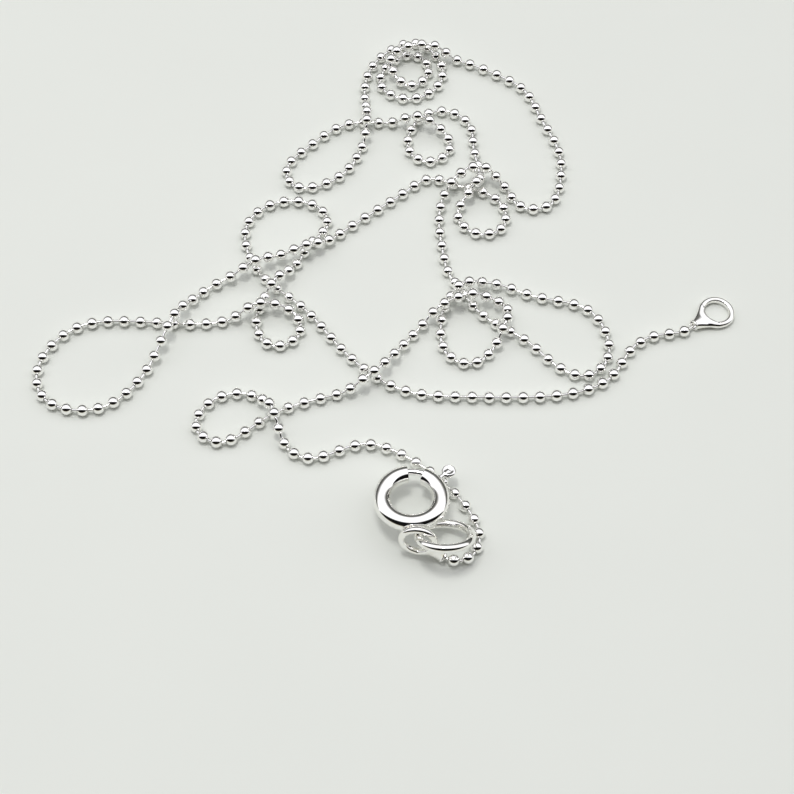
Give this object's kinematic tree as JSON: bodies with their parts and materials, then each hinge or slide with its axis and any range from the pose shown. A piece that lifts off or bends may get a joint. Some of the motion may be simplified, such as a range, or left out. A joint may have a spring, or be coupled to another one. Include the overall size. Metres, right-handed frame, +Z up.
{
  "type": "ball chain necklace",
  "caption": "Silver ball chain necklace with a bolt ring clasp, laid in loose loops.",
  "frame": {"origin": "on the surface that the necklace lies on, under the middle of its bounding box", "axes": "+X to the right in the picture, +Y away from the viewer, +Z up from the surface"},
  "size_m": [0.0598, 0.055, 0.0037],
  "materials": {
    "polished_silver": "mirror polished sterling silver",
    "bright_wire": "bright drawn wire"
  },
  "bodies": {
    "necklace": {"ball_chain_free": "polished_silver", "ball_chain_clasp": "polished_silver", "end_cap_free": "polished_silver", "end_cap_clasp": "polished_silver", "bolt_ring": "polished_silver"},
    "bolt": {"gate": "bright_wire"}
  },
  "joints": [
    {"name": "gate_slide", "type": "hinge", "parent": "necklace", "child": "bolt", "pos_m": [0.0019, -0.02219, 0.00208], "axis": [0, 0.1392, 0.9903], "range_deg": [-40, 0], "stiffness_Nm_per_rad": 0.003, "springref_deg": 17.19}
  ]
}
